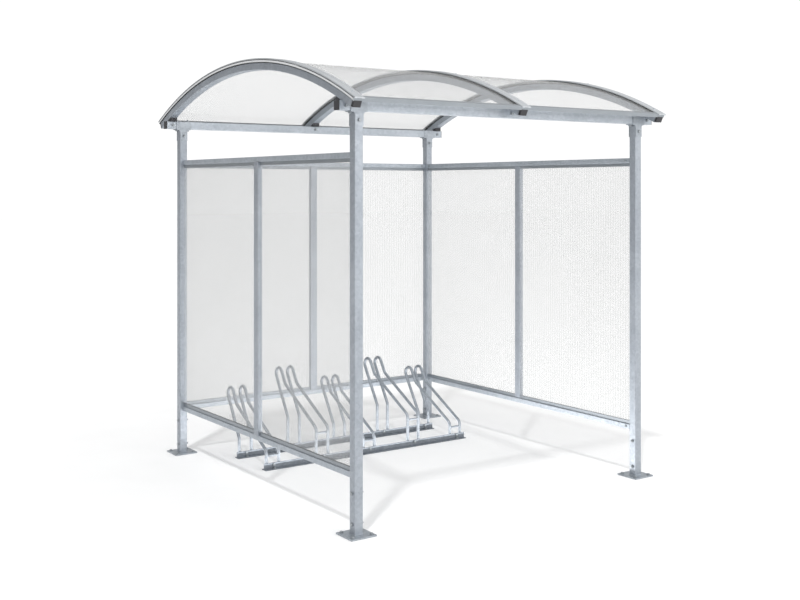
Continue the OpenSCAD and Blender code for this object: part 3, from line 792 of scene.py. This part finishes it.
def zinc_plated_steel():
    """Grey plating over steel, in places rubbed brighter by the spanner."""
    rub_size = 4 * MM
    material, tree, shader, place = new_material("zinc_plated_steel")
    shader.inputs["Metallic"].default_value = 0.8
    rub = add(tree, "ShaderNodeTexNoise", {"Vector": place, "Scale": 1 / rub_size, "Detail": 3})
    mottle(tree, shader, rub.outputs["Fac"], "#90969B", "#B4B8BB")
    vary_roughness(tree, shader, rub.outputs["Fac"], 0.35, 0.5)
    return material


def fastener_tree():
    """Hexagon head or nut on a washer at each point, turned to the point's own axis."""
    tree, given = start_tree("fastener", [
        ("Across Flats", "Float", 0.017), ("Head Height", "Float", 0.0065),
        ("Washer Diameter", "Float", 0.02), ("Washer Thickness", "Float", 0.002),
        ("Thread Diameter", "Float", 0.01), ("Thread Out", "Float", 0.0),
        ("Material", "Material", None)])
    value = maths(tree)

    def upright(kind, base, depth, inputs):
        shape = add(tree, kind, {**inputs, "Depth": depth}).outputs["Mesh"]
        if kind == "GeometryNodeMeshCylinder":
            base = value("ADD", base, value("MULTIPLY", depth, 0.5))
        lift = add(tree, "ShaderNodeCombineXYZ", {"Z": base})
        return add(tree, "GeometryNodeTransform",
                   {"Geometry": shape, "Translation": lift.outputs[0]}).outputs[0]

    washer = upright("GeometryNodeMeshCylinder", 0.0, given["Washer Thickness"],
                     {"Vertices": 24, "Radius": value("MULTIPLY", given["Washer Diameter"], 0.5)})
    body_h = value("MULTIPLY", given["Head Height"], 0.85)
    head = upright("GeometryNodeMeshCylinder", given["Washer Thickness"], body_h,
                   {"Vertices": 6, "Radius": value("DIVIDE", given["Across Flats"], 1.732)})
    crown_z = value("ADD", given["Washer Thickness"], value("MULTIPLY", body_h, 0.999))
    crown_h = value("MULTIPLY", given["Head Height"], 0.15)
    crown = upright("GeometryNodeMeshCone", crown_z, crown_h, {
        "Vertices": 24, "Radius Bottom": value("MULTIPLY", given["Across Flats"], 0.5),
        "Radius Top": value("MULTIPLY", given["Across Flats"], 0.42)})
    thread_h = value("ADD", value("MULTIPLY", given["Head Height"], 0.5), given["Thread Out"])
    thread_z = value("ADD", given["Washer Thickness"],
                     value("MULTIPLY", given["Head Height"], 0.5))
    thread = upright("GeometryNodeMeshCylinder", thread_z, thread_h,
                     {"Vertices": 16, "Radius": value("MULTIPLY", given["Thread Diameter"], 0.5)})
    whole = add(tree, "GeometryNodeJoinGeometry")
    for part in (washer, head, crown, thread):
        tree.links.new(part, whole.inputs[0])
    axis = add(tree, "GeometryNodeInputNamedAttribute", {"Name": "axis"}, data_type="FLOAT_VECTOR")
    turn = add(tree, "FunctionNodeAlignRotationToVector", {"Vector": axis.outputs[0]}, axis="Z")
    placed = add(tree, "GeometryNodeInstanceOnPoints", {
        "Points": given["Geometry"], "Instance": whole.outputs[0], "Rotation": turn.outputs[0]})
    end_tree(tree, placed.outputs[0], given["Material"])
    return tree


fastener, plated = fastener_tree(), zinc_plated_steel()


def fasteners(name, spots, flats, head, washer, washer_t, thread, thread_out=0.0,
              material=plated, slot=GALVANISED_SLOT):
    """One piece of like fasteners. Each spot is the point on the surface and the way out of it."""
    piece = line_piece(name, [[point] for point, _ in spots])
    axes = [c for _, way in spots for c in way]
    piece.data.attributes.new("axis", "FLOAT_VECTOR", "POINT").data.foreach_set("vector", axes)
    grow(piece, fastener, **{
        "Across Flats": flats, "Head Height": head, "Washer Diameter": washer,
        "Washer Thickness": washer_t, "Thread Diameter": thread, "Thread Out": thread_out,
        "Material": material})
    return finish_piece(piece, material, slot)


M10 = {"flats": 17 * MM, "head": 6.4 * MM, "washer": 20 * MM, "washer_t": 2 * MM,
       "thread": 10 * MM}
LOW_BOLT, HIGH_BOLT, STEM_DROP = 50 * MM, 205 * MM, 45 * MM
SADDLE_OUT, SADDLE_T, ANCHOR_OUT = 14 * MM, 5 * MM, 55 * MM
T_BAR_T, PLACE_BOLT_Z, RACK_ANCHOR_OUT = 5 * MM, 28 * MM, 14 * MM
SEAT = 0.1 * MM
heads, nuts, anchors = [], [], []
for row, side in CORNERS:
    low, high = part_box(f"post_{row}_{side}")
    plate_top = low.z
    middle = (low + high) / 2
    out = -1 if side == "left" else 1
    for height in (LOW_BOLT, HIGH_BOLT):
        for sign in (-1, 1):
            face = low.x if sign < 0 else high.x
            spot = (Vector((face - sign * SEAT, middle.y, plate_top + height)), (sign, 0, 0))
            (heads if sign == out else nuts).append(spot)
    bracket_low, bracket_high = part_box(f"head_bracket_{row}_{side}")
    beam_low, beam_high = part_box(f"beam_{row}")
    for sign in (-1, 1):
        face = bracket_low.y if sign < 0 else bracket_high.y
        spot = (Vector((middle.x, face - sign * SEAT, beam_low.z - STEM_DROP)), (0, sign, 0))
        (heads if (sign < 0) == (row == "front") else nuts).append(spot)
        x = middle.x + sign * (high.x - low.x + 2 * SADDLE_OUT) / 2
        heads.append((Vector((x, middle.y, beam_low.z - SADDLE_T + SEAT)), (0, 0, -1)))
        nuts.append((Vector((x, middle.y, beam_high.z - SEAT)), (0, 0, 1)))
    for x in (-1, 1):
        for y in (-1, 1):
            anchors.append((Vector((middle.x + x * ANCHOR_OUT, middle.y + y * ANCHOR_OUT,
                                    plate_top - SEAT)), (0, 0, 1)))
for side in ("left", "middle", "right"):
    low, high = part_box(f"rib_{side}")
    for row, (beam_low, beam_high) in beam_boxes.items():
        outer, inner = (beam_low.y, beam_high.y) if row < 0 else (beam_high.y, beam_low.y)
        x, z = (low.x + high.x) / 2, (beam_low.z + beam_high.z) / 2
        heads.append((Vector((x, outer - row * SEAT, z)), (0, row, 0)))
        nuts.append((Vector((x, inner + row * SEAT, z)), (0, -row, 0)))
rack_anchors = []
for row in ("front", "rear"):
    low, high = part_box(f"rack_rail_{row}")
    web = (low.y + high.y) / 2
    for number in RACK_PLACES:
        x = place_x[number]
        heads.append((Vector((x, web - T_BAR_T / 2 + SEAT, PLACE_BOLT_Z)), (0, -1, 0)))
        nuts.append((Vector((x, web + T_BAR_T / 2 + PLATE_T - SEAT, PLACE_BOLT_Z)), (0, 1, 0)))
    for number in (1, 5):
        rack_anchors.append((Vector((place_x[number], web - RACK_ANCHOR_OUT, T_BAR_T - SEAT)),
                             (0, 0, 1)))
rail_bolts, rail_end = [], 30 * MM
for wall in ("left", "right", "rear"):
    low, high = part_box(f"wall_rails_{wall}")
    along = X if wall == "rear" else Y
    across = Y - along
    inner, way = (high, 1) if wall == "left" else (low, -1)
    axis = Vector()
    axis[across] = way
    for z in ((low.z + bay_low.z) / 2, (bay_high.z + high.z) / 2):
        for place in (low[along] + rail_end, high[along] - rail_end):
            point = Vector((0, 0, z))
            point[along], point[across] = place, inner[across] - way * SEAT
            rail_bolts.append((point, axis))
fasteners("hexagon_bolt_heads", heads, **{**M10, "thread": 6 * MM})
fasteners("hexagon_nuts", nuts, thread_out=5 * MM, **{**M10, "head": 8 * MM})
fasteners("wall_rail_bolts", rail_bolts, 13 * MM, 5.3 * MM, 16 * MM, 1.6 * MM, 5 * MM)
fasteners("foot_anchor_bolts", anchors, 16 * MM, 7 * MM, 22 * MM, 2 * MM, 10 * MM)
fasteners("rack_anchor_bolts", rack_anchors, 15 * MM, 6 * MM, 18 * MM, 2 * MM, 8 * MM)

SCREW_TURNS = [math.radians(turn) for turn in (-25.4, -12.7, 0, 12.7, 25.4)]
screws = []
for side in ("left", "middle", "right"):
    low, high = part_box(f"cover_strip_{side}")
    top_r = high.z - arch_z - COVER_RIM
    for angle in SCREW_TURNS:
        point = on_arch((low.x + high.x) / 2, top_r - SEAT, angle)
        screws.append((point, (0, math.sin(angle), math.cos(angle))))
fasteners("cover_strip_screws", screws, 9 * MM, 5 * MM, 15 * MM, 1.6 * MM, 4 * MM,
          material=aluminium, slot=ALUMINIUM_SLOT)


# ---- Welds ----------------------------------------------------------------------------------
# Short fillet welds, run by hand and galvanised over: a row of small overlapping ripples.

def weld_tree():
    """Ripples of a weld bead along the edges of a mesh."""
    tree, given = start_tree("weld_bead", [("Bead", "Float", 0.0025), ("Ripple", "Float", 0.0018),
                                           ("Seed", "Int", 7), ("Material", "Material", None)])
    line = add(tree, "GeometryNodeMeshToCurve", {"Mesh": given["Geometry"]})
    spots = add(tree, "GeometryNodeResampleCurve", {"Curve": line.outputs[0],
                                                    "Length": given["Ripple"]}, mode="LENGTH")
    drop = add(tree, "GeometryNodeMeshUVSphere", {"Segments": 8, "Rings": 5,
                                                  "Radius": given["Bead"]})
    size = add(tree, "FunctionNodeRandomValue", {"Min": (0.85,) * 3, "Max": (1.1,) * 3,
                                                 "Seed": given["Seed"]}, data_type="FLOAT_VECTOR")
    beads = add(tree, "GeometryNodeInstanceOnPoints", {
        "Points": spots.outputs[0], "Instance": drop.outputs["Mesh"], "Scale": size.outputs[0]})
    end_tree(tree, beads.outputs[0], given["Material"])
    return tree


weld = weld_tree()


def weld_piece(name, lines, bead):
    """One piece of weld beads, in the plate's zinc, along several lines."""
    piece = line_piece(name, lines)
    grow(piece, weld, Bead=bead, Ripple=bead * 0.7, Seed=7, Material=plate_steel)
    piece.data.shade_smooth()
    finish_piece(piece, plate_steel, GALVANISED_SLOT)


def square_loop(low, high, z):
    """Closed line round a box at one height."""
    corners = [(low.x, low.y), (high.x, low.y), (high.x, high.y), (low.x, high.y), (low.x, low.y)]
    return [Vector((x, y, z)) for x, y in corners]


foot_runs, rib_runs, rack_runs = [], [], []
for row, side in CORNERS:
    low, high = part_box(f"post_{row}_{side}")
    foot_runs.append(square_loop(low, high, low.z + 0.5 * MM))
for side in ("left", "middle", "right"):
    low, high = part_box(f"rib_{side}")
    x = (low.x + high.x) / 2
    for row in (-1, 1):
        y = beam_middle[row] - row * LUG_T / 2
        z = on_arch(0, RIB_TOP_R - RIB_H, math.asin(y / (RIB_TOP_R - RIB_H))).z
        rib_runs.append([Vector((x + sign * LUG_W / 2, y, z)) for sign in (-1, 1)])
for number in RACK_PLACES:
    for leg in (front_leg, rear_leg):
        y = leg - HOOP_D / 2 + LEG_IN_PLATE
        for sign in (-1, 1):
            for edge in (-1, 1):
                x = place_x[number] + sign * HOOP_GAP / 2 + edge * 5.5 * MM
                rack_runs.append([Vector((x, y, z)) for z in (leg_low + 3 * MM, PLATE_TOP - MM)])
weld_piece("foot_welds", foot_runs, 2.6 * MM)
weld_piece("rib_lug_welds", rib_runs, 2.4 * MM)
weld_piece("rack_leg_welds", rack_runs, 2 * MM)


# ---- Floor, light and camera ----------------------------------------------------------------
# A plain white studio: a pale floor that runs out of sight, white light all round that is a little
# stronger from the front and above, a soft key from the front, a card near the floor that throws
# light up under the roof, and a faint sun that draws thin shadows on the floor.

def matt_floor():
    """White floor without gloss, with the faintest unevenness."""
    material, tree, shader, place = new_material("matt_white_floor")
    grain = add(tree, "ShaderNodeTexNoise", {"Vector": place, "Scale": 3.0})
    mottle(tree, shader, grain.outputs["Fac"], "#F6F6F6", "#FAFAFA")
    shader.inputs["Roughness"].default_value = 0.9
    shader.inputs["Specular IOR Level"].default_value = 0.1
    return material


FLOOR_HALF = 60
floor = mesh_piece("studio_floor", [(-FLOOR_HALF, -FLOOR_HALF, -0.5 * MM),
                                    (FLOOR_HALF, -FLOOR_HALF, -0.5 * MM),
                                    (FLOOR_HALF, FLOOR_HALF, -0.5 * MM),
                                    (-FLOOR_HALF, FLOOR_HALF, -0.5 * MM)], [(0, 1, 2, 3)])
floor.data.materials.append(matt_floor())

scene = bpy.context.scene
world = bpy.data.worlds.new("white_studio")
world.use_nodes = True
sky = world.node_tree
sky.nodes.clear()
backdrop = add(sky, "ShaderNodeBackground", {"Color": (1, 1, 1, 1), "Strength": 1.05})
towards = add(sky, "ShaderNodeTexCoord").outputs["Generated"]
slope = add(sky, "ShaderNodeVectorMath", {0: towards, 1: (0.2, -0.3, 0.35)},
            operation="DOT_PRODUCT")
level = add(sky, "ShaderNodeMath", {0: slope.outputs["Value"], 1: 0.6}, operation="ADD")
ambient = add(sky, "ShaderNodeBackground", {"Color": (1, 1, 1, 1),
                                            "Strength": level.outputs[0]})
seen = add(sky, "ShaderNodeLightPath").outputs["Is Camera Ray"]
mixed = add(sky, "ShaderNodeMixShader", {0: seen, 1: ambient.outputs[0], 2: backdrop.outputs[0]})
add(sky, "ShaderNodeOutputWorld", {"Surface": mixed.outputs[0]})
scene.world = world


def lamp(name, kind, energy, place, target, **settings):
    """Lamp at a place, turned to face a target."""
    light = bpy.data.lights.new(name, kind)
    light.energy = energy
    for key, value in settings.items():
        setattr(light, key, value)
    holder = bpy.data.objects.new(name, light)
    holder.location = place
    holder.rotation_euler = (Vector(target) - Vector(place)).to_track_quat("-Z", "Y").to_euler()
    holder.visible_camera = False
    scene.collection.objects.link(holder)


lamp("front_key", "AREA", 120, (2.2, -7.0, 4.2), (0, 0, 1.2), shape="RECTANGLE", size=6, size_y=4)
lamp("sun", "SUN", 1.0, (-3.0, -2.64, 7.5), (0, 0, 0), angle=math.radians(3))
lamp("bounce_card", "AREA", 26, (0, -0.1, 0.03), (0, -0.1, 2), shape="RECTANGLE", size=1.9,
     size_y=2.0)

scene.view_settings.view_transform = "Standard"
scene.cycles.transparent_max_bounces = 64
EYE, HEADING, HORIZON_SHIFT, LENS = (-4.015, -5.743, 1.747), -35, -0.14, 49.7
camera_data = bpy.data.cameras.new("camera")
camera_data.lens, camera_data.shift_y = LENS, HORIZON_SHIFT
camera_data.clip_end = 200
camera = bpy.data.objects.new("camera", camera_data)
camera.location = EYE
camera.rotation_euler = (math.radians(90), 0, math.radians(HEADING))
scene.collection.objects.link(camera)
scene.camera = camera
